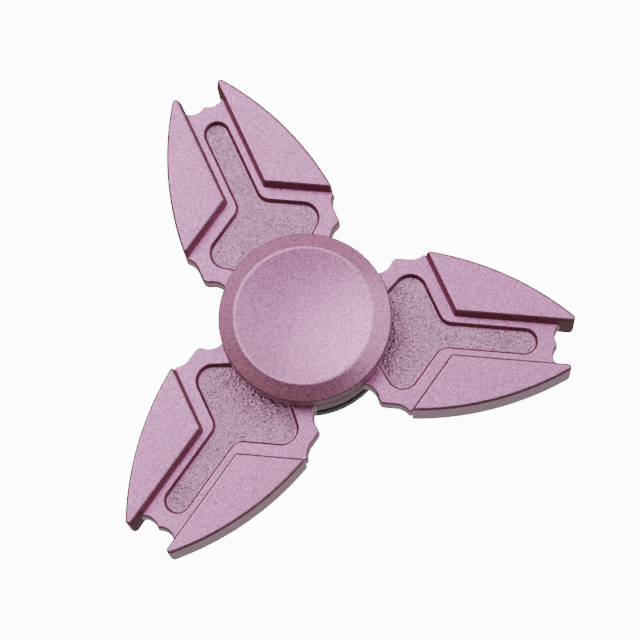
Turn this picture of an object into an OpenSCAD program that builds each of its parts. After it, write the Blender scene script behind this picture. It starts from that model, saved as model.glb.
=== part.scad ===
// Three-arm fidget spinner: a one-piece cast frame with forked, claw-tipped arms,
// a small ball bearing pressed into its hub, and two dished finger caps that are
// screwed together through the bearing.
// The origin is the centre of the bearing, +Z is the spin axis, and one arm points along +X.
// All lengths are in millimetres. An arm's outline is drawn once for one half of one arm.

/* [Frame] */
// Thickness of the raised claws, face to face
claw_thick = 6.3; // [5.6:0.1:7]
// Thickness of the flat web between the claws, face to face
web_thick = 2.7; // [2.3:0.1:3.2]
// Depth of the cast pocket in each face of the web
pocket_depth = 0.8; // [0.4:0.05:0.95]
// Radius of the hub's edge between two arms
hub_r = 11.3; // [10.9:0.1:11.38]
// Radius of the boss that holds the bearing
boss_r = 8.6; // [7.6:0.1:8.8]

/* [Claws] */
// Half of the gap between an arm's two claws
gap_half = 2.8; // [2.6:0.05:2.95]
// Distance of the claws' slanting inner edges from the spin axis
slant_dist = 18.35; // [18:0.05:18.6]
// Radius of a claw's long outer curve
outer_r = 40.5; // [40:0.1:41]
// Centre of a claw's long outer curve
outer_c = [12.04, -29.53]; // [-30:0.01:13]
// Radius that rounds a claw's tip
tip_r = 0.5; // [0.3:0.05:0.6]
// Radius that rounds a claw's elbow
elbow_r = 0.5; // [0.3:0.05:0.8]
// Radius that rounds a claw's root
root_r = 0.35; // [0.2:0.05:0.5]

/* [Pocket] */
// Half width of the pocket's slot
slot_half = 1.7; // [1.5:0.05:1.9]
// Distance of the slot's round end, at its centre, from the spin axis
slot_end = 28.92; // [28:0.02:29.3]
// Radius of the pocket's two lobes
lobe_r = 2.2; // [2:0.05:2.4]
// Centre of a lobe
lobe_c = [13.35, 5.57]; // [5:0.01:14]
// Radius of the bend from the slot into a lobe
bend_r = 1.7; // [1.2:0.1:2]

/* [Bearing] */
// Outside diameter of the bearing
bearing_od = 12.7; // [12.7:0.01:12.7]
// Bore of the bearing
bearing_bore = 6.35; // [6.35:0.01:6.35]
// Width of the bearing
bearing_w = 4.76; // [4.76:0.01:4.78]
// Number of balls
ball_count = 10; // [10:1:10]
// Diameter of a ball
ball_d = 1.5875; // [1.5:0.0125:1.5875]

/* [Caps] */
// Diameter of a finger cap
cap_d = 22.76; // [22.6:0.02:23.2]
// Height over both caps, face to face
cap_span = 12; // [11.6:0.1:12.6]
// Width across the cap's flat rest ring, outside
land_d = 18.6; // [18.2:0.1:19]
// Width across the cap's dish
dish_d = 17.9; // [17:0.1:18]
// Depth of the cap's dish
dish_depth = 0.9; // [0.6:0.05:1]
// Height of the cap's lower edge above the middle plane
cap_skirt_z = 2.45; // [2.2:0.05:2.6]
// Height of the cap's outer corner above the middle plane
cap_corner_z = 4.83; // [4.6:0.01:5]

/* [Hidden] */
$fn = 96;

arm_count = 3;
arm_step = 360 / arm_count;

// Colours
anodised_rose = [0.76, 0.54, 0.65];
bearing_steel = [0.72, 0.73, 0.75];
ball_steel = [0.85, 0.86, 0.88];
cage_brass = [0.72, 0.58, 0.35];
screw_black = [0.16, 0.16, 0.17];

// Scalloped shoulder: a deep round bite beside the hub, a rounded corner, and a shallow
// dip up to the claw
bite_c = [8.28, 9.93];
bite_r = 2.29;
shoulder_r = 0.9;
dip_r = 2.4;
dip_x = 12.85;
// Pair of round bites in the web's end, between the claw tips, with a blunt nib between them
notch_c = [34.7, 1.3];
notch_r = 1.85;
nib_half = 0.12;
// The pocket's inner corner, hidden under the cap, and where a lobe's arc turns towards it
pocket_inner = [9, 3.4];
lobe_open_a = 143;

// Bearing
pitch_r = (bearing_od + bearing_bore) / 4;
groove_r = ball_d / 2 + 0.036;
inner_land_r = 4.2;
outer_land_r = 5.35;
shield_seat_r = 5.75;
shield_z = 1.7;
shield_t = 0.25;
snap_groove_r = 5.9;
snap_t = 0.25;
cage_r = [4.36, 5.19];
cage_z = [-0.4, 1.15];
cage_pocket_r = ball_d / 2 + 0.07;

// Caps and their screw
spigot_r = bearing_bore / 2 - 0.025;
spigot_z = 0.15;
step_r = 4;
recess_r = 9.6;
recess_z = 3;
edge_break = 0.12;
thread_r = 2;
thread_z = 3.6;
screw_r = 1.97;
screw_half = 3.3;
socket_flats = 2;
socket_depth = 1.5;

// Points along an arc of radius r about c, from angle a0 to angle a1, in n steps
function arc(c, r, a0, a1, n) = [
    for (i = [0:n]) let (a = a0 + (a1 - a0) * i / n) c + r * [cos(a), sin(a)]
];
function angle_of(v) = atan2(v[1], v[0]);
function reversed(p) = [for (i = [len(p) - 1:-1:0]) p[i]];
function mirrored(p) = [for (q = p) [q[0], -q[1]]];
function turned(p, a) = [for (q = p) [q[0] * cos(a) - q[1] * sin(a), q[0] * sin(a) + q[1] * cos(a)]];

// Centre of a circle of radius r inside the outer curve, tangent to it and to the
// straight line whose unit normal, pointing into the metal, is n at distance d
function inside_centre(n, d, r, sense) =
    let (
        e = (d + r) - n * outer_c,
        along = sqrt(pow(outer_r - r, 2) - e * e)
    )
    outer_c + e * n + sense * along * [n[1], -n[0]];

// Claw: elbow, tip and root corners are rounded by circles tangent to their sides
slant_n = [cos(30), sin(30)];
gap_n = [0, 1];
elbow_c = [(slant_dist + elbow_r - (gap_half + elbow_r) * slant_n[1]) / slant_n[0], gap_half + elbow_r];
tip_c = inside_centre(gap_n, gap_half, tip_r, 1);
root_c = inside_centre(slant_n, slant_dist, root_r, -1);
tip_a = angle_of(tip_c - outer_c);
root_a = angle_of(root_c - outer_c);
claw_points = concat(
    arc(elbow_c, elbow_r, 210, 270, 5),
    arc(tip_c, tip_r, -90, tip_a, 8),
    arc(outer_c, outer_r, tip_a, root_a, 14),
    arc(root_c, root_r, root_a, 210, 8)
);

// Half of an arm's web, from the hub's edge to the notch between the claw tips. Where the
// web runs under the claws, its edge lies inside them.
bite_start = -88;
bite_end = -16;
shoulder_c = bite_c + (bite_r + shoulder_r) * [cos(bite_end), sin(bite_end)];
shoulder_start = 165 + bite_end;
dip_c = [dip_x, shoulder_c[1] + shoulder_r + dip_r];
dip_end = 320;
notch_start = 110;
notch_end = 180 + asin((notch_c[1] - nib_half) / notch_r);
web_half = concat(
    arc(bite_c, bite_r, bite_start, bite_end, 8),
    arc(shoulder_c, shoulder_r, shoulder_start, 90, 6),
    arc(dip_c, dip_r, 270, dip_end, 7),
    [[15.4, 10.4], [25, 6.5], [33, 3.6], [33.9, 3.2]],
    arc(notch_c, notch_r, notch_start, notch_end, 9)
);
hub_a = angle_of(web_half[0]);
web_points = [
    for (k = [0:arm_count - 1]) each concat(
        turned(arc([0, 0], hub_r, hub_a - arm_step, -hub_a, 6), k * arm_step),
        turned(mirrored(web_half), k * arm_step),
        turned(reversed(web_half), k * arm_step)
    )
];

// Pocket: a slot with a round end that forks into two round lobes beside the hub
fork_dist = lobe_c * slant_n + lobe_r;
bend_c = [(fork_dist + bend_r - (slot_half + bend_r) * slant_n[1]) / slant_n[0], slot_half + bend_r];
pocket_half = concat(
    arc([slot_end, 0], slot_half, 0, 90, 8),
    arc(bend_c, bend_r, 270, 210, 5),
    arc(lobe_c, lobe_r, 30, lobe_open_a, 9),
    [pocket_inner]
);
pocket_points = concat(pocket_half, reversed(mirrored(pocket_half)));

module arms() {
    for (k = [0:arm_count - 1]) rotate(k * arm_step) children();
}

module spinner_frame() {
    color(anodised_rose) difference() {
        union() {
            linear_extrude(web_thick, center = true) polygon(web_points);
            cylinder(r = boss_r, h = bearing_w, center = true);
            arms() for (side = [0, 1]) mirror([0, side, 0])
                linear_extrude(claw_thick, center = true) polygon(claw_points);
        }
        cylinder(d = bearing_od, h = claw_thick, center = true);
        arms() for (face = [0, 1]) mirror([0, 0, face])
            translate([0, 0, web_thick / 2 - pocket_depth])
                linear_extrude(claw_thick) polygon(pocket_points);
    }
}

module cap() {
    half = cap_span / 2;
    dish_r = (pow(dish_d / 2, 2) + pow(dish_depth, 2)) / (2 * dish_depth);
    color(anodised_rose) difference() {
        rotate_extrude() polygon([
            [0, spigot_z],
            [spigot_r - edge_break, spigot_z],
            [spigot_r, spigot_z + edge_break],
            [spigot_r, bearing_w / 2],
            [step_r, bearing_w / 2],
            [step_r, recess_z],
            [recess_r, recess_z],
            [recess_r, cap_skirt_z],
            [cap_d / 2 - edge_break, cap_skirt_z],
            [cap_d / 2, cap_skirt_z + edge_break],
            [cap_d / 2, cap_corner_z],
            [land_d / 2, half],
            [0, half]
        ]);
        translate([0, 0, half - dish_depth + dish_r]) sphere(dish_r);
        cylinder(r = thread_r, h = thread_z);
    }
}

module top_cap() {
    cap();
}

module bottom_cap() {
    mirror([0, 0, 1]) cap();
}

// Headless screw that draws the two caps together through the bearing
module joining_screw() {
    color(screw_black) difference() {
        cylinder(r = screw_r, h = 2 * screw_half, center = true);
        translate([0, 0, screw_half - socket_depth])
            cylinder(d = socket_flats / cos(30), h = 2 * socket_depth, $fn = 6);
    }
}

module ball_groove() {
    rotate_extrude() translate([pitch_r, 0]) circle(groove_r);
}

module outer_race() {
    half = bearing_w / 2;
    snap_z = shield_z + shield_t;
    color(bearing_steel) difference() {
        rotate_extrude() polygon([
            [outer_land_r, -shield_z],
            [shield_seat_r, -shield_z],
            [shield_seat_r, -snap_z],
            [snap_groove_r, -snap_z],
            [snap_groove_r, -snap_z - snap_t],
            [shield_seat_r, -snap_z - snap_t],
            [shield_seat_r, -half],
            [bearing_od / 2, -half],
            [bearing_od / 2, half],
            [shield_seat_r, half],
            [shield_seat_r, snap_z + snap_t],
            [snap_groove_r, snap_z + snap_t],
            [snap_groove_r, snap_z],
            [shield_seat_r, snap_z],
            [shield_seat_r, shield_z],
            [outer_land_r, shield_z]
        ]);
        ball_groove();
    }
}

module inner_race() {
    color(bearing_steel) difference() {
        cylinder(r = inner_land_r, h = bearing_w, center = true);
        cylinder(d = bearing_bore, h = 2 * bearing_w, center = true);
        ball_groove();
    }
}

module around_pitch(i) {
    rotate((i - 1) * 360 / ball_count) translate([pitch_r, 0, 0]) children();
}

// Crown cage: the balls snap into pockets that open downwards
module ball_cage() {
    color(cage_brass) difference() {
        translate([0, 0, cage_z[0]]) cylinder(r = cage_r[1], h = cage_z[1] - cage_z[0]);
        cylinder(r = cage_r[0], h = 4 * cage_z[1], center = true);
        for (i = [1:ball_count]) around_pitch(i) sphere(cage_pocket_r);
    }
}

module ball(i) {
    color(ball_steel) around_pitch(i) sphere(d = ball_d);
}

module shield() {
    color(bearing_steel) translate([0, 0, shield_z]) difference() {
        cylinder(r = shield_seat_r, h = shield_t);
        translate([0, 0, -shield_t]) cylinder(r = inner_land_r + 0.18, h = 3 * shield_t);
    }
}

// Spring ring, open over a short gap, that holds a shield in its seat
module snap_ring() {
    ring_gap = 1.4;
    color(bearing_steel) translate([0, 0, shield_z + shield_t]) difference() {
        cylinder(r = snap_groove_r, h = snap_t);
        translate([0, 0, -snap_t]) cylinder(r = shield_seat_r - 0.35, h = 3 * snap_t);
        translate([0, -ring_gap / 2, -snap_t]) cube([bearing_od, ring_gap, 3 * snap_t]);
    }
}

module upper_shield() {
    shield();
}

module lower_shield() {
    mirror([0, 0, 1]) shield();
}

module upper_snap_ring() {
    snap_ring();
}

module lower_snap_ring() {
    mirror([0, 0, 1]) rotate(180) snap_ring();
}

spinner_frame();
top_cap();
bottom_cap();
joining_screw();
outer_race();
inner_race();
ball_cage();
for (i = [1:ball_count]) ball(i);
upper_shield();
lower_shield();
upper_snap_ring();
lower_snap_ring();
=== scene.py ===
"""Looks for the three-arm fidget spinner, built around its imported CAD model.

The origin is the centre of the bearing, +Z is the spin axis and one arm points along +X, as
in the CAD model. Shapes are worked out in millimetres and turned into metres as meshes.
"""
import math

import bmesh
import bpy
import numpy as np
from mathutils import Matrix, Vector, noise
from mathutils.geometry import delaunay_2d_cdt


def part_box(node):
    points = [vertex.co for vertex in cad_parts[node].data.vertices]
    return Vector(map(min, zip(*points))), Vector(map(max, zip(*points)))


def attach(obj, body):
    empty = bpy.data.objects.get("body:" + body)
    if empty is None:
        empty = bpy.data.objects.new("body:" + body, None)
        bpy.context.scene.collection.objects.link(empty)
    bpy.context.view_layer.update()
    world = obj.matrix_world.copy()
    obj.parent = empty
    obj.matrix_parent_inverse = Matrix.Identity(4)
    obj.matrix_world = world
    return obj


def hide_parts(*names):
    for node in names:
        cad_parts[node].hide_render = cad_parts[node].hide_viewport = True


MM = 0.001

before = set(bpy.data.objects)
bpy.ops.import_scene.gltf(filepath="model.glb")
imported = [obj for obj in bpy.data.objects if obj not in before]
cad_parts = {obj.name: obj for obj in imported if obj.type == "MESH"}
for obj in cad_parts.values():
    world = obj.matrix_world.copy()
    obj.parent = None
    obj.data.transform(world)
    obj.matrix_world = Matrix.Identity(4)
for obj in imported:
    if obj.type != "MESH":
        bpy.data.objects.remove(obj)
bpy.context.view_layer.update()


def size_of(node):
    """A CAD node's lowest and highest corner, in millimetres."""
    low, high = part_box(node)
    return low / MM, high / MM


# ---------------------------------------------------------------- sizes, in millimetres

CAP_R = size_of("top_cap")[1].x
CAP_TOP = size_of("top_cap")[1].z
BORE_R = size_of("outer_race")[1].x
BEARING_HALF = size_of("outer_race")[1].z
CLAW_HALF = size_of("spinner_frame")[1].z
SPIGOT_Z = size_of("top_cap")[0].z

ARMS = 3
ARM_STEP = 360 / ARMS

# Claw: straight inner edges at a gap and a slant, and one long outer curve
GAP_HALF = 2.8
SLANT_DIST = 18.35
SLANT_ANGLE = 30
OUTER_R = 40.495
OUTER_C = Vector((12.04, -29.53))
# Radii of its corners, the least they may be, and the tip's loss for each mm of inset
TIP_R = 0.53
ELBOW_R = 0.5
ROOT_R = 0.35
LEAST_R = 0.05
TIP_INNER, TIP_OUTER = 0.66, 0.4
# Rounded edges, and the inner wall's inset at its brink and outset at its foot
OUTER_ROLL = 0.42
INNER_ROLL = 0.38
INNER_BRINK = 0.05
INNER_FOOT = 0.2

# Web: a flat plate with scalloped shoulders and a pair of notches round a nib at its end.
# Its draft is the inset of its outline at its lower and upper face
WEB_HALF = 1.35
WEB_ROLL = 0.24
WEB_DRAFT = (-0.08, 0.05)
HUB_R = 11.3
BOSS_R = 8.6
BITE_C = Vector((8.28, 9.93))
BITE_R = 2.29
BITE_ENDS = (-88, -16)
SHOULDER_R = 0.9
DIP_X = 12.85
DIP_R = 2.4
DIP_END = 319
UNDER_CLAW = [Vector(p) for p in ((15.3, 10.5), (25, 6.5), (32.8, 3.5))]
NOTCH_C = Vector((34.7, 1.3))
NOTCH_R = 1.85
NOTCH_START = 120
NIB_HALF = 0.18

# Pocket: a slot that forks into two lobes, with a rough cast floor
SLOT_HALF = 1.7
SLOT_END = 28.92
LOBE_R = 2.2
LOBE_C = Vector((13.35, 5.57))
LOBE_END = 143
BEND_R = 1.7
POCKET_INNER = Vector((9, 3.4))
FLOOR_Z = 0.55
RIM_ROLL = 0.18
POCKET_DRAFT = 0.16
FLOOR_FILLET = 0.14
CUT_CLEAR = 1
FLOOR_GRID = 0.1

# Cap: a turned disc with a sloping rim, a narrow flat ring and a dished face
SKIRT_Z = 2.45
CORNER_Z = 4.83
LAND_R = 9.3
DISH_R = 8.95
DISH_DEPTH = 0.9
RECESS_R = 9.6
RECESS_Z = 3.0
STEP_R = 4.0
SPIGOT_R = 3.15
THREAD_R = 2.0
THREAD_Z = 3.6
SPIGOT_ROLL = 0.12
STEP_ROLL = 0.1
SKIRT_ROLL = 0.15
CORNER_ROLL = 0.35
LAND_ROLL = 0.35
DISH_ROLL = 0.15

# Relief of the pockets' cast floors: (wavelength, depth), each arm's share of it, the shares
# left in the calm parts and reached at the slot's end, where it grows coarse by the hub and
# towards the slot's end, and the width over which it fades out at the wall
LUMPS = ((0.6, 0.04), (0.28, 0.075))
ARM_RELIEF = (1.0, 0.45, 0.9)
CALM_SHARE = 0.3
END_SHARE = 0.7
COARSE_HUB = (13.0, 16.5)
COARSE_END = (22.0, 27.0)
FLOOR_FADE = 0.25

# How smooth curves are: points round a turned part, a dish's section and a fillet
TURNED_SEGMENTS = 240
DISC_SEGMENTS = 180
DISH_STEPS = 40
FILLET_STEPS = 6
# Two faces that meet at more than this many degrees have a sharp edge between them
CREASE = 35
# Points this close are one point, in a mesh and in a triangulation
NEAR = 1e-3
NEAR_FLAT = 1e-5

# How far, as the normal's z, a face may lean and still count as an edge, wall or cap rim, which
# get darker and paler coats that are painted shade and painted light
EDGE_TILT = 0.9
WALL_TILT = 0.3
RIM_TILT = 0.75
# How squarely, as a cosine, a claw's wall faces the arm's middle line or its slanted gap,
# and a notch's wall faces the middle line. Walls that face a gap get a darker coat that is painted
# shade
TO_MIDDLE, TO_SLANT, SQUARE = 0.4, 0.6, 0.95
# Least and most x, and most y, of a pocket's walls in its arm
POCKET_REACH = (10.0, 31.0, 7.95)
# The angle from an arm's middle, in degrees, past which the hub's own edge shows and gets the cap
# rims' painted shade
HUB_SIDE = 42.6

# ---------------------------------------------------------------- looks

# The lacquer on faces, and darker and paler copies of it that are painted shade and painted light
# on edges, outer walls and cap rims
ROSE = (0.80, 0.29, 0.50)
# Rounded edges and walls that face a gap: a darker copy of the lacquer, painted shade
EDGE_SHADE_ROSE = (0.38, 0.19, 0.22)
EDGE_SHEEN = 0.5
# Outer walls: a paler copy of the lacquer, painted light
WALL_LIT_ROSE = (0.88, 0.48, 0.62)
# Cap rims and the hub's edge under the cap: a darker copy of the lacquer, painted shade
RIM_SHADE_ROSE = (0.4, 0.23, 0.28)
# The lower cap's rim: a near-black copy of the lacquer, painted shade
LOW_RIM_SHADE = (0.08, 0.08, 0.085)
# Its flake, in millimetres and as a share of the colour, its roughness and its grain. A span
# is the part of a noise's range that is stretched over the whole of what it drives
FLAKE = 0.12
FLAKE_SHARE = 0.42
DRIFT = 6.0
DRIFT_SHARE = 0.3
ROUGH_GRAIN = 1.3 * FLAKE
ROUGH_SPAN = (0.4, 0.9)
COAT_ROUGH = (0.3, 0.45)
GRAIN = 0.25
GRAIN_DEPTH = 0.008
# The cast floors' specks, blotches and pits
FLOOR_DARK = (0.22, 0.1, 0.14)
FLOOR_LIGHT = (0.92, 0.46, 0.64)
FLOOR_SPAN = (0.35, 0.65)
FLOOR_ROUGH = (0.24, 0.45)
SPECK = 0.22
SPECK_SPAN = (0.4, 0.8)
BLOTCH = 2.5
BLOTCH_SHARE = 0.2
PIT = 0.17
PIT_DEPTH = 0.075
# Bare metals: colour and roughness, and their grain
STEEL = ((0.62, 0.63, 0.65), 0.25)
BALL_STEEL = ((0.75, 0.76, 0.78), 0.08)
BRASS = ((0.60, 0.44, 0.20), 0.3)
BLACK_STEEL = ((0.1, 0.1, 0.11), 0.4)
METAL_GRAIN = 0.15
METAL_DARK = 0.88
METAL_SPAN = (0.3, 0.7)
METAL_UNEVEN = 0.2
METAL_DEPTH = 0.002

# The camera looks at a point of the middle plane, in millimetres and degrees
CAMERA_TARGET = (1.72, 0.91, 0)
CAMERA_AZIMUTH = -73.79
CAMERA_ELEVATION = 76.43
CAMERA_DISTANCE = 356.86
CAMERA_ROLL = -11.07
CAMERA_LENS = 151.18

# Soft sources: azimuth, elevation, angle of the full core, angle of the edge, colour
STUDIO = (
    (0, 90, 60, 130, (0.22, 0.21, 0.17)),
    (0, -90, 50, 100, (0.33, 0.33, 0.33)),
    (100, 30, 10, 90, (0.45, 0.43, 0.48)),
    (195, 30, 10, 50, (0.15, 0.14, 0.12)),
    (139, 58, 5, 28, (2.35, 2.2, 3.0)),
    (60, 80, 10, 40, (0.15, 0.15, 0.3)),
    (12, 36, 12, 45, (0.95, 0.98, 1.2)),
)
TABLE_HALF = 1500
TABLE_TONE = 0.9
TABLE_GLOW = 12.0
TABLE_GAP = 0.02

# ---------------------------------------------------------------- outlines in the plane


def polar(r, degrees):
    """The point at a distance and an angle from the origin."""
    a = math.radians(degrees)
    return Vector((r * math.cos(a), r * math.sin(a)))


def arc(centre, r, start, end, steps):
    return [centre + polar(r, start + (end - start) * i / steps) for i in range(steps + 1)]


def angle_of(v):
    return math.degrees(math.atan2(v.y, v.x))


def mirrored(points):
    return [Vector((p.x, -p.y)) for p in points]


def turned(points, degrees):
    rotation = Matrix.Rotation(math.radians(degrees), 2)
    return [rotation @ p for p in points]


def inset(points, depth):
    """A counter-clockwise outline moved inwards by depth, with mitred corners."""
    moved = []
    for i, p in enumerate(points):
        before = (p - points[i - 1]).normalized()
        after = (points[(i + 1) % len(points)] - p).normalized()
        inward = Vector((-before.y - after.y, before.x + after.x)).normalized()
        share = max(inward.dot(Vector((-before.y, before.x))), 0.5)
        moved.append(p + inward * depth / share)
    return moved


def inside_centre(normal, distance, r, sense, curve_r):
    """Centre of a circle of radius r that touches, from inside the claw, its outer curve and
    the straight line at distance along normal."""
    off_line = distance + r - normal.dot(OUTER_C)
    along = math.sqrt((curve_r - r) ** 2 - off_line**2)
    return OUTER_C + off_line * normal + sense * along * Vector((normal.y, -normal.x))


def claw_outline(inner, outer):
    """A claw's outline, moved in by inner at its straight edges and by outer at its curve."""
    slant_n, gap_n = polar(1, SLANT_ANGLE), Vector((0, 1))
    slant, gap, curve_r = SLANT_DIST + inner, GAP_HALF + inner, OUTER_R - outer
    shrink = max(inner, outer, 0)
    root_r, elbow_r = (max(r - shrink, LEAST_R) for r in (ROOT_R, ELBOW_R))
    tip_r = max(TIP_R - TIP_INNER * inner - TIP_OUTER * outer, LEAST_R)
    elbow_y = gap + elbow_r
    elbow = Vector(((slant + elbow_r - elbow_y * slant_n.y) / slant_n.x, elbow_y))
    tip = inside_centre(gap_n, gap, tip_r, 1, curve_r)
    root = inside_centre(slant_n, slant, root_r, -1, curve_r)
    tip_a, root_a = angle_of(tip - OUTER_C), angle_of(root - OUTER_C)
    return (
        arc(elbow, elbow_r, 180 + SLANT_ANGLE, 270, 8)
        + arc(tip, tip_r, -90, tip_a, 12)
        + arc(OUTER_C, curve_r, tip_a, root_a, 60)[1:-1]
        + arc(root, root_r, root_a, 180 + SLANT_ANGLE, 12)
    )


def web_half():
    """One side of an arm's web, from the hub's edge to the middle of the web's end."""
    notch_end = 180 + math.degrees(math.asin((NOTCH_C.y - NIB_HALF) / NOTCH_R))
    shoulder = BITE_C + polar(BITE_R + SHOULDER_R, BITE_ENDS[1])
    dip = Vector((DIP_X, shoulder.y + SHOULDER_R + DIP_R))
    return (
        arc(BITE_C, BITE_R, *BITE_ENDS, 20)
        + arc(shoulder, SHOULDER_R, 180 + BITE_ENDS[1], 90, 16)[1:]
        + arc(dip, DIP_R, 270, DIP_END, 20)
        + UNDER_CLAW
        + arc(NOTCH_C, NOTCH_R, NOTCH_START, notch_end, 20)
    )


def web_outline():
    half = web_half()
    hub_a = angle_of(half[0])
    points = []
    for k in range(ARMS):
        hub = arc(Vector((0, 0)), HUB_R, hub_a - ARM_STEP, -hub_a, 12)[1:-1]
        points += turned(hub + mirrored(half) + half[::-1], k * ARM_STEP)
    return points


def pocket_outline(depth):
    """A pocket's outline, moved in by depth."""
    slant_n = polar(1, SLANT_ANGLE)
    fork = LOBE_C.dot(slant_n) + LOBE_R
    bend_y = SLOT_HALF + BEND_R
    bend = Vector(((fork + BEND_R - bend_y * slant_n.y) / slant_n.x, bend_y))
    half = (
        arc(Vector((SLOT_END, 0)), SLOT_HALF - depth, 0, 90, 16)
        + arc(bend, BEND_R + depth, 270, 180 + SLANT_ANGLE, 12)
        + arc(LOBE_C, LOBE_R - depth, SLANT_ANGLE, LOBE_END, 24)
        + [POCKET_INNER + Vector((depth, -depth))]
    )
    return half + mirrored(half)[:0:-1]


# ---------------------------------------------------------------- meshes


def roll_in(height, r):
    """How far a rounded edge of radius r has moved in at a height above its start."""
    return r - math.sqrt(max(r * r - height * height, 0))


def mesh_object(name, bm):
    mesh = bpy.data.meshes.new(name)
    bm.to_mesh(mesh)
    bm.free()
    obj = bpy.data.objects.new(name, mesh)
    bpy.context.scene.collection.objects.link(obj)
    return obj


def add_loft(bm, rings):
    """A closed solid through rings of (outline, z), which all have the same count."""
    layers = [[bm.verts.new((p.x, p.y, z)) for p in outline] for outline, z in rings]
    for low, high in zip(layers, layers[1:]):
        for i in range(len(low)):
            bm.faces.new((low[i - 1], low[i], high[i], high[i - 1]))
    bm.faces.new(reversed(layers[0]))
    bm.faces.new(layers[-1])


def both_ways(heights):
    """Heights above the middle plane, and the same below it, from the lowest up."""
    return [-z for z in reversed(heights)] + heights


def claw_inner(z):
    """Inset of a claw's inner edges at height z: a drafted wall with a rounded brink above
    the web, and an upright wall with a rounded edge below it."""
    brink = CLAW_HALF - INNER_ROLL
    if z > brink:
        return INNER_BRINK + roll_in(z - brink, INNER_ROLL)
    if z > WEB_HALF:
        rise = (z - WEB_HALF) / (brink - WEB_HALF)
        return -INNER_FOOT + rise * (INNER_FOOT + INNER_BRINK)
    return -INNER_FOOT + roll_in(max(-z - brink, 0), INNER_ROLL)


def claw_outer(z):
    """Inset of a claw's outer curve at height z."""
    return roll_in(max(abs(z) - CLAW_HALF + OUTER_ROLL, 0), OUTER_ROLL)


def claws():
    start = CLAW_HALF - OUTER_ROLL
    heights = [WEB_HALF, start]
    heights += [start + OUTER_ROLL * math.sin(math.radians(a)) for a in (18, 36, 54, 72, 90)]
    bm = bmesh.new()
    for k in range(ARMS):
        for side in (1, -1):
            rings = []
            for z in both_ways(heights):
                outline = claw_outline(claw_inner(z), claw_outer(z))
                if side < 0:
                    outline = mirrored(outline)[::-1]
                rings.append((turned(outline, k * ARM_STEP), z))
            add_loft(bm, rings)
    return mesh_object("claws", bm)


def web():
    start = WEB_HALF - WEB_ROLL
    heights = [start + WEB_ROLL * math.sin(math.radians(a)) for a in (0, 30, 60, 90)]
    outline = web_outline()
    bm = bmesh.new()
    rings = []
    for z in both_ways(heights):
        rise = (z + WEB_HALF) / (2 * WEB_HALF)
        draft = WEB_DRAFT[0] + rise * (WEB_DRAFT[1] - WEB_DRAFT[0])
        rings.append((inset(outline, draft + roll_in(abs(z) - start, WEB_ROLL)), z))
    add_loft(bm, rings)
    return mesh_object("web", bm)


def disc(name, r, half):
    bm = bmesh.new()
    ring = arc(Vector((0, 0)), r, 0, 360, DISC_SEGMENTS)[:-1]
    add_loft(bm, [(ring, -half), (ring, half)])
    return mesh_object(name, bm)


def pockets():
    """Cutters for the pockets of both faces, with a rounded rim and drafted walls."""
    wall_top = WEB_HALF - RIM_ROLL
    rings = [(POCKET_DRAFT + FLOOR_FILLET, FLOOR_Z)]
    for a in (30, 60, 90):
        foot = math.sin(math.radians(a)) * FLOOR_FILLET
        drop = FLOOR_FILLET * (1 - math.cos(math.radians(a)))
        rings.append((POCKET_DRAFT + FLOOR_FILLET - foot, FLOOR_Z + drop))
    rings.append((0, wall_top))
    for a in (30, 60, 90):
        rise = RIM_ROLL * math.sin(math.radians(a))
        rings.append((-roll_in(rise, RIM_ROLL), wall_top + rise))
    rings.append((-RIM_ROLL, WEB_HALF + CUT_CLEAR))
    bm = bmesh.new()
    for k in range(ARMS):
        for face in (1, -1):
            levels = [(turned(pocket_outline(d), k * ARM_STEP), face * z) for d, z in rings]
            add_loft(bm, levels if face > 0 else levels[::-1])
    return mesh_object("pockets", bm)


def combine(target, tool, operation):
    """Joins tool to target, or cuts target with it, and deletes tool."""
    modifier = target.modifiers.new(operation, "BOOLEAN")
    modifier.object = tool
    modifier.operation = operation
    modifier.solver = "EXACT"
    graph = bpy.context.evaluated_depsgraph_get()
    result = bpy.data.meshes.new_from_object(target.evaluated_get(graph))
    target.modifiers.clear()
    target.data = result
    bpy.data.objects.remove(tool)


def smoothstep(low, high, x):
    t = np.clip((x - low) / (high - low), 0, 1)
    return t * t * (3 - 2 * t)


def edge_distances(points, outline):
    """Each point's distance from a closed outline, negative outside it."""
    start = np.array(outline)
    step = np.roll(start, -1, 0) - start
    nearest = np.full(len(points), np.inf)
    crossings = np.zeros(len(points), int)
    for a, d in zip(start, step):
        along = np.clip(((points - a) @ d) / (d @ d), 0, 1)
        nearest = np.minimum(nearest, np.linalg.norm(points - a - along[:, None] * d, axis=1))
        spans = (points[:, 1] >= a[1]) != (points[:, 1] >= a[1] + d[1])
        if d[1]:
            crossings += spans & (points[:, 0] < a[0] + (points[:, 1] - a[1]) * d[0] / d[1])
    return np.where(crossings % 2, nearest, -nearest)


def floor_patch(outline):
    """Points and triangles that fill a pocket's floor, and the points' distances from its edge."""
    corners = np.array(outline)
    low, high = corners.min(0), corners.max(0)
    row_step = FLOOR_GRID * math.sqrt(3) / 2
    grid = []
    for row in range(int((high[1] - low[1]) / row_step) + 1):
        shift = FLOOR_GRID / 2 * (row % 2)
        for col in range(int((high[0] - low[0]) / FLOOR_GRID) + 1):
            grid.append((low[0] + shift + col * FLOOR_GRID, low[1] + row * row_step))
    grid = np.array(grid)
    grid = grid[edge_distances(grid, outline) > FLOOR_GRID / 2]
    points = [Vector(p) for p in outline] + [Vector(p) for p in grid]
    made = delaunay_2d_cdt(points, [], [list(range(len(outline)))], 1, NEAR_FLAT)
    flat = np.array([tuple(p) for p in made[0]])
    return flat, made[2], np.maximum(edge_distances(flat, outline), 0)


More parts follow.
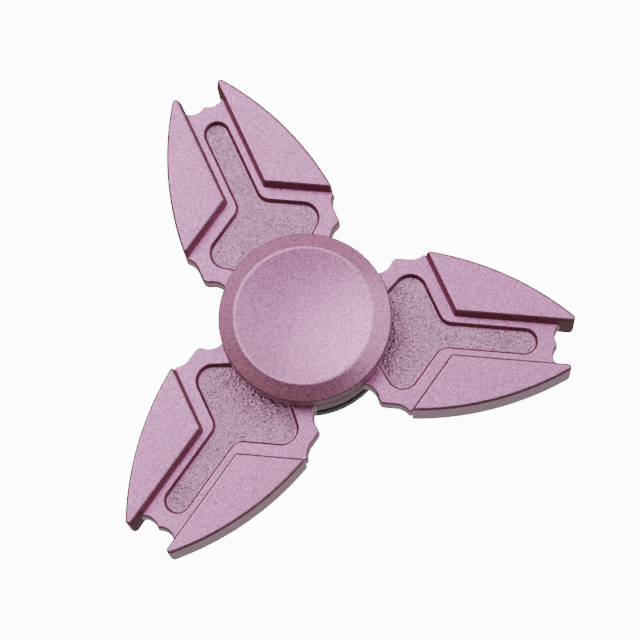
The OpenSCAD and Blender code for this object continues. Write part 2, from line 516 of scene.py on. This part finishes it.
def floor_relief(x, y, arm, face):
    """Height of the cast floor's lumps at a point of an arm that lies along +X. Each arm and
    face has its own layer of noise, so no two floors are alike."""
    near_hub = smoothstep(COARSE_HUB[1], COARSE_HUB[0], math.hypot(x, y))
    near_end = smoothstep(COARSE_END[0], COARSE_END[1], x)
    rough = max(near_hub, END_SHARE * near_end)
    layer = 10 * arm + 5 * face
    height = 0
    for wavelength, depth in LUMPS:
        height += depth * noise.noise(Vector((x, y, layer)) / wavelength)
    return ARM_RELIEF[arm] * (CALM_SHARE + (1 - CALM_SHARE) * rough) * height


def add_floors(bm):
    """Fills the pockets' open bottoms with lumpy cast floors, as material 1."""
    outline = pocket_outline(POCKET_DRAFT + FLOOR_FILLET)
    flat, triangles, edge = floor_patch(outline)
    fade = smoothstep(0, FLOOR_FADE, edge)
    for k in range(ARMS):
        at = turned([Vector(p) for p in flat], k * ARM_STEP)
        for face in (1, -1):
            verts = []
            for (x, y), place, share in zip(flat, at, fade):
                z = FLOOR_Z + share * floor_relief(x, y, k, face)
                verts.append(bm.verts.new((place.x, place.y, face * z)))
            for t in triangles:
                new = bm.faces.new([verts[i] for i in (t if face > 0 else t[::-1])])
                new.material_index = 1


def in_half_arm(v, at):
    """v turned, and mirrored if need be, as takes the point at to the upper half of the arm
    along +X."""
    back = -round(angle_of(at) / ARM_STEP) * ARM_STEP
    v, at = turned([v, at], back)
    return v if at.y >= 0 else mirrored([v])[0]


def faces_gap(face):
    """Whether a claw's wall faces its arm's pocket, or the wall is the pocket's own; such walls
    get painted shade.
    """
    centre = face.calc_center_median()
    place, way = (in_half_arm(v, centre.xy) for v in (centre.xy, face.normal.xy))
    if abs(centre.z) > WEB_HALF or place.x > NOTCH_C.x:
        return way.y < -TO_MIDDLE or way.dot(polar(1, SLANT_ANGLE)) < -TO_SLANT
    least_x, most_x, most_y = POCKET_REACH
    if way.y < -SQUARE and place.x > most_x:
        return True
    return least_x < place.x < most_x and place.y < most_y and abs(centre.z) > FLOOR_Z


def sort_walls(bm):
    """Gives walls that face a gap, and rounded edges, material 2, a darker coat that is painted
    shade;
    other walls material 3, a paler coat that is painted light; and the hub's edge between two arms
    material 4, a darker coat that is painted shade under the cap."""
    for f in bm.faces:
        if f.material_index or abs(f.normal.z) >= EDGE_TILT:
            continue
        centre = f.calc_center_median().xy
        if centre.length > BOSS_R and angle_of(in_half_arm(centre, centre)) > HUB_SIDE:
            f.material_index = 4
        elif abs(f.normal.z) < WALL_TILT and not faces_gap(f):
            f.material_index = 3
        else:
            f.material_index = 2


def smooth_shade(bm):
    """Smooth faces, with sharp edges only where two faces meet at a crease."""
    for f in bm.faces:
        f.smooth = True
    for e in bm.edges:
        lumps = all(f.material_index == 1 for f in e.link_faces)
        e.smooth = lumps or e.calc_face_angle(math.pi) < math.radians(CREASE)


def to_metres(obj):
    """Scales a finished mesh from millimetres and gives its flat faces flat shading."""
    obj.data.transform(Matrix.Scale(MM, 4))
    weighted = obj.modifiers.new("flat faces stay flat", "WEIGHTED_NORMAL")
    weighted.keep_sharp = True
    return obj


def build_frame():
    """The frame as one closed mesh: web, boss and claws joined, and the pockets cut."""
    body = web()
    body.name = "frame_body"
    combine(body, disc("boss", BOSS_R, BEARING_HALF), "UNION")
    combine(body, claws(), "UNION")
    combine(body, disc("bore", BORE_R, CLAW_HALF), "DIFFERENCE")
    combine(body, pockets(), "DIFFERENCE")
    body.data.materials.clear()
    bm = bmesh.new()
    bm.from_mesh(body.data)
    floors = [f for f in bm.faces if abs(abs(f.calc_center_median().z) - FLOOR_Z) < NEAR]
    bmesh.ops.delete(bm, geom=floors, context="FACES_ONLY")
    add_floors(bm)
    bmesh.ops.remove_doubles(bm, verts=bm.verts, dist=NEAR)
    bm.normal_update()
    sort_walls(bm)
    smooth_shade(bm)
    bm.to_mesh(body.data)
    bm.free()
    return to_metres(body)


def filleted(corners):
    """A profile of (r, z, fillet radius) corners as points, with its corners rounded."""
    points = []
    for i, (r, z, radius) in enumerate(corners):
        here = Vector((r, z))
        if not radius:
            points.append(here)
            continue
        before = (Vector(corners[i - 1][:2]) - here).normalized()
        after = (Vector(corners[(i + 1) % len(corners)][:2]) - here).normalized()
        half = before.angle(after) / 2
        centre = here + (before + after).normalized() * radius / math.sin(half)
        first = here + before * radius / math.tan(half) - centre
        last = here + after * radius / math.tan(half) - centre
        sweep = first.angle_signed(last)
        for step in range(FILLET_STEPS + 1):
            a = math.atan2(first.y, first.x) - sweep * step / FILLET_STEPS
            points.append(centre + radius * Vector((math.cos(a), math.sin(a))))
    return points


def cap_profile():
    """Half section of the upper cap, from the bottom of its screw hole round to its dish,
    whose first steps the rounded rim takes up."""
    sphere_r = (DISH_R**2 + DISH_DEPTH**2) / (2 * DISH_DEPTH)
    centre_z = CAP_TOP - DISH_DEPTH + sphere_r
    rim = math.asin(DISH_R / sphere_r)
    dish = []
    for i in range(1, DISH_STEPS + 1):
        a = rim * (1 - i / DISH_STEPS)
        dish.append(Vector((sphere_r * math.sin(a), centre_z - sphere_r * math.cos(a))))
    return (
        filleted(
            [
                (0, THREAD_Z, 0),
                (THREAD_R, THREAD_Z, 0),
                (THREAD_R, SPIGOT_Z, SPIGOT_ROLL),
                (SPIGOT_R, SPIGOT_Z, SPIGOT_ROLL),
                (SPIGOT_R, BEARING_HALF, 0),
                (STEP_R, BEARING_HALF, STEP_ROLL),
                (STEP_R, RECESS_Z, 0),
                (RECESS_R, RECESS_Z, 0),
                (RECESS_R, SKIRT_Z, STEP_ROLL),
                (CAP_R, SKIRT_Z, SKIRT_ROLL),
                (CAP_R, CORNER_Z, CORNER_ROLL),
                (LAND_R, CAP_TOP, LAND_ROLL),
                (DISH_R, CAP_TOP, DISH_ROLL),
                (dish[2].x, dish[2].y, 0),
            ]
        )
        + dish[3:]
    )


def build_cap(name, face):
    """A turned cap; face is 1 for the upper one and -1 for the lower. Its outward faces have
    material 0, and its rim and underside material 1, a darker coat that is painted shade."""
    bm = bmesh.new()
    rings = []
    for p in cap_profile():
        ring = [Vector((0, 0))]
        if p.x > NEAR:
            ring = arc(ring[0], p.x, 0, 360, TURNED_SEGMENTS)[:-1]
        rings.append([bm.verts.new((q.x, q.y, face * p.y)) for q in ring])
    for a, b in zip(rings, rings[1:]):
        for i in range(TURNED_SEGMENTS):
            corners = [a[i - 1], a[i]] if len(a) > 1 else [a[0]]
            corners += [b[i], b[i - 1]] if len(b) > 1 else [b[0]]
            bm.faces.new(corners)
    bmesh.ops.recalc_face_normals(bm, faces=bm.faces)
    for f in bm.faces:
        f.material_index = 0 if face * f.normal.z > RIM_TILT else 1
    smooth_shade(bm)
    return to_metres(mesh_object(name, bm))


# ---------------------------------------------------------------- materials


class Graph:
    """A node tree, and short ways to add to it."""

    def __init__(self, tree):
        self.tree = tree
        tree.nodes.clear()

    def add(self, kind, inputs=(), **settings):
        """A new node with its settings, and each input linked or set by name or number."""
        node = self.tree.nodes.new(kind)
        for name, value in settings.items():
            setattr(node, name, value)
        for name, value in dict(inputs).items():
            if isinstance(value, bpy.types.NodeSocket):
                self.tree.links.new(value, node.inputs[name])
            else:
                node.inputs[name].default_value = value
        return node

    def texture_inputs(self, grain):
        """Object coordinates, scaled for features about grain millimetres across."""
        place = self.add("ShaderNodeTexCoord").outputs["Object"]
        return {"Vector": place, "Scale": 1 / (grain * MM)}

    def noise(self, grain, detail=2):
        """Noise from 0 to 1."""
        inputs = {**self.texture_inputs(grain), "Detail": detail}
        return self.add("ShaderNodeTexNoise", inputs).outputs["Fac"]

    def cells(self, grain):
        """A random value from 0 to 1 for each cell."""
        inputs = self.texture_inputs(grain)
        colour = self.add("ShaderNodeTexVoronoi", inputs).outputs["Color"]
        return self.add("ShaderNodeSeparateXYZ", {"Vector": colour}).outputs["X"]

    def ramp(self, value, low, high, to_low=0.0, to_high=1.0):
        """value's range from low to high, stretched to run from to_low to to_high."""
        inputs = {"Value": value, 1: low, 2: high, 3: to_low, 4: to_high}
        return self.add("ShaderNodeMapRange", inputs).outputs["Result"]

    def plus_share(self, value, other, share):
        """value + share * other."""
        part = self.add("ShaderNodeMath", {0: other, 1: share}, operation="MULTIPLY")
        inputs = {0: value, 1: part.outputs["Value"]}
        return self.add("ShaderNodeMath", inputs, operation="ADD").outputs["Value"]

    def mix(self, share, a, b):
        """Colour a, turning into colour b as share goes from 0 to 1."""
        node = self.add("ShaderNodeMix", data_type="RGBA")
        sockets = {s.name: s for s in node.inputs if s.enabled}
        self.tree.links.new(share, sockets["Factor"])
        sockets["A"].default_value = [*a, 1]
        sockets["B"].default_value = [*b, 1]
        return [s for s in node.outputs if s.enabled][0]

    def bump(self, height, depth):
        """A bump whose full height is depth millimetres."""
        inputs = {"Height": height, "Distance": depth * MM, "Strength": 1.0}
        return self.add("ShaderNodeBump", inputs).outputs["Normal"]


def material(name):
    """A new material, its node graph and its shader."""
    made = bpy.data.materials.new(name)
    made.use_nodes = True
    graph = Graph(made.node_tree)
    shader = graph.add("ShaderNodeBsdfPrincipled")
    output = graph.add("ShaderNodeOutputMaterial", {"Surface": shader.outputs["BSDF"]})
    output.is_active_output = True
    return made, graph, shader


def connect(graph, shader, **sockets):
    """Links or sets the shader's sockets, whose names have _ in place of spaces."""
    for name, value in sockets.items():
        socket = shader.inputs[name.replace("_", " ")]
        if isinstance(value, bpy.types.NodeSocket):
            graph.tree.links.new(value, socket)
        else:
            socket.default_value = value


def rose_coat(name, base, sheen=1.0):
    """Satin metallic lacquer with a fine flake; sheen is its share of glancing reflections."""
    made, g, shader = material(name)
    dark = [c * (1 - FLAKE_SHARE) for c in base]
    light = [min(c * (1 + FLAKE_SHARE), 1) for c in base]
    uneven = g.plus_share(g.noise(ROUGH_GRAIN), g.noise(DRIFT, 1), DRIFT_SHARE)
    connect(g, shader, Base_Color=g.mix(g.cells(FLAKE), dark, light), Metallic=1.0)
    connect(g, shader, Roughness=g.ramp(uneven, *ROUGH_SPAN, *COAT_ROUGH))
    connect(g, shader, Normal=g.bump(g.noise(GRAIN), GRAIN_DEPTH))
    connect(g, shader, Specular_Tint=[sheen, sheen, sheen, 1])
    return made


def cast_floor():
    """The same lacquer, thinner and speckled, over the pockets' rough cast floors."""
    made, g, shader = material("cast_floor")
    speckled = g.plus_share(g.noise(SPECK, 3), g.noise(BLOTCH), BLOTCH_SHARE)
    colour = g.mix(g.ramp(speckled, *SPECK_SPAN), FLOOR_DARK, FLOOR_LIGHT)
    connect(g, shader, Base_Color=colour, Metallic=1.0)
    connect(g, shader, Roughness=g.ramp(g.noise(SPECK), *FLOOR_SPAN, *FLOOR_ROUGH))
    connect(g, shader, Normal=g.bump(g.noise(PIT), PIT_DEPTH))
    return made


def plain_metal(name, base, rough):
    """Bare turned, ground or polished metal with faint grain."""
    made, g, shader = material(name)
    fine = g.noise(METAL_GRAIN, 3)
    colour = g.mix(fine, [c * METAL_DARK for c in base], base)
    connect(g, shader, Base_Color=colour, Metallic=1.0)
    low, high = rough * (1 - METAL_UNEVEN), rough * (1 + METAL_UNEVEN)
    connect(g, shader, Roughness=g.ramp(fine, *METAL_SPAN, low, high))
    connect(g, shader, Normal=g.bump(g.noise(2 * METAL_GRAIN), METAL_DEPTH))
    return made


# ---------------------------------------------------------------- the studio


def direction(azimuth, elevation):
    """The unit vector towards an azimuth and elevation in degrees."""
    e = math.radians(elevation)
    flat = polar(math.cos(e), azimuth)
    return Vector((flat.x, flat.y, math.sin(e)))


def build_camera():
    camera = bpy.data.objects.new("camera", bpy.data.cameras.new("camera"))
    bpy.context.scene.collection.objects.link(camera)
    bpy.context.scene.camera = camera
    towards = direction(CAMERA_AZIMUTH, CAMERA_ELEVATION)
    turn = (-towards).to_track_quat("-Z", "Y").to_matrix().to_4x4()
    place = (Vector(CAMERA_TARGET) + towards * CAMERA_DISTANCE) * MM
    roll = Matrix.Rotation(math.radians(CAMERA_ROLL), 4, "Z")
    camera.matrix_world = Matrix.Translation(place) @ turn @ roll
    camera.data.lens = CAMERA_LENS
    camera.data.sensor_width = 36
    camera.data.clip_start = 0.01


def build_world():
    """Soft studio light: a dim surround with broad soft sources in it."""
    world = bpy.data.worlds.new("studio")
    bpy.context.scene.world = world
    world.use_nodes = True
    g = Graph(world.node_tree)
    way = g.add("ShaderNodeTexCoord").outputs["Generated"]
    total = (0, 0, 0)
    for azimuth, elevation, core, edge, colour in STUDIO:
        toward = direction(azimuth, elevation)
        facing = g.add("ShaderNodeVectorMath", {0: way, 1: toward}, operation="DOT_PRODUCT")
        inner, outer = (math.cos(math.radians(a)) for a in (core, edge))
        inputs = {"Value": facing.outputs["Value"], 1: outer, 2: inner}
        fade = g.add("ShaderNodeMapRange", inputs, interpolation_type="SMOOTHSTEP")
        inputs = {0: colour, "Scale": fade.outputs["Result"]}
        glow = g.add("ShaderNodeVectorMath", inputs, operation="SCALE")
        inputs = {0: total, 1: glow.outputs["Vector"]}
        total = g.add("ShaderNodeVectorMath", inputs, operation="ADD").outputs["Vector"]
    background = g.add("ShaderNodeBackground", {"Color": total, "Strength": 1.0})
    g.add("ShaderNodeOutputWorld", {"Surface": background.outputs["Background"]})


def build_floor():
    """A plain glowing white table under the lower cap, which sends no light to the spinner."""
    bm = bmesh.new()
    bmesh.ops.create_grid(bm, x_segments=1, y_segments=1, size=TABLE_HALF * MM)
    floor = mesh_object("floor", bm)
    floor.location.z = -(CAP_TOP + TABLE_GAP) * MM
    made, g, shader = material("white_table")
    connect(g, shader, Base_Color=[TABLE_TONE, TABLE_TONE, TABLE_TONE, 1], Roughness=0.9)
    connect(g, shader, Emission_Color=[1, 1, 1, 1], Emission_Strength=TABLE_GLOW)
    floor.data.materials.append(made)
    floor.visible_diffuse = False
    floor.visible_glossy = False
    floor.visible_shadow = False


# ---------------------------------------------------------------- the pieces


def put(piece, body, slot, node, *materials):
    """Gives a piece its materials, and lets it ride on body in place of a CAD node."""
    for m in materials:
        piece.data.materials.append(m)
    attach(piece, body)
    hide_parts(node)


def build_pieces():
    coat = rose_coat("frame_coat", ROSE)
    # A darker copy of the lacquer on edges and walls that face a gap: painted shade
    edges = rose_coat("edge_painted_shade", EDGE_SHADE_ROSE, EDGE_SHEEN)
    # A paler copy of the lacquer on outer walls: painted light
    walls = rose_coat("wall_painted_light", WALL_LIT_ROSE)
    cap_coat = rose_coat("cap_coat", ROSE)
    # A darker copy of the lacquer on cap rims and the hub's edge: painted shade
    rim_painted_shade = rose_coat("rim_painted_shade", RIM_SHADE_ROSE)
    # A near-black copy of the lacquer on the lower cap's rim: painted shade
    low_rim_shade = rose_coat("low_rim_painted_shade", LOW_RIM_SHADE)
    finishes = (coat, cast_floor(), edges, walls, rim_painted_shade)
    put(build_frame(), "rotor", "frame_finish", "spinner_frame", *finishes)
    put(build_cap("upper_cap", 1), "caps", "cap_finish", "top_cap", cap_coat, rim_painted_shade)
    put(build_cap("lower_cap", -1), "caps", "cap_finish", "bottom_cap", cap_coat, low_rim_shade)


def finish_bearing():
    """Gives the bearing's CAD parts, and the screw, their metals."""
    steel = plain_metal("race_steel", *STEEL)
    ball_steel = plain_metal("ball_steel", *BALL_STEEL)
    brass = plain_metal("cage_brass", *BRASS)
    black_steel = plain_metal("screw_steel", *BLACK_STEEL)
    own = {"ball_cage": brass, "joining_screw": black_steel}
    for name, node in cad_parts.items():
        if node.hide_render:
            continue
        metal = own.get(name, ball_steel if name.startswith("ball_") else steel)
        node.data.materials.clear()
        node.data.materials.append(metal)


build_pieces()
finish_bearing()
build_camera()
build_world()
build_floor()
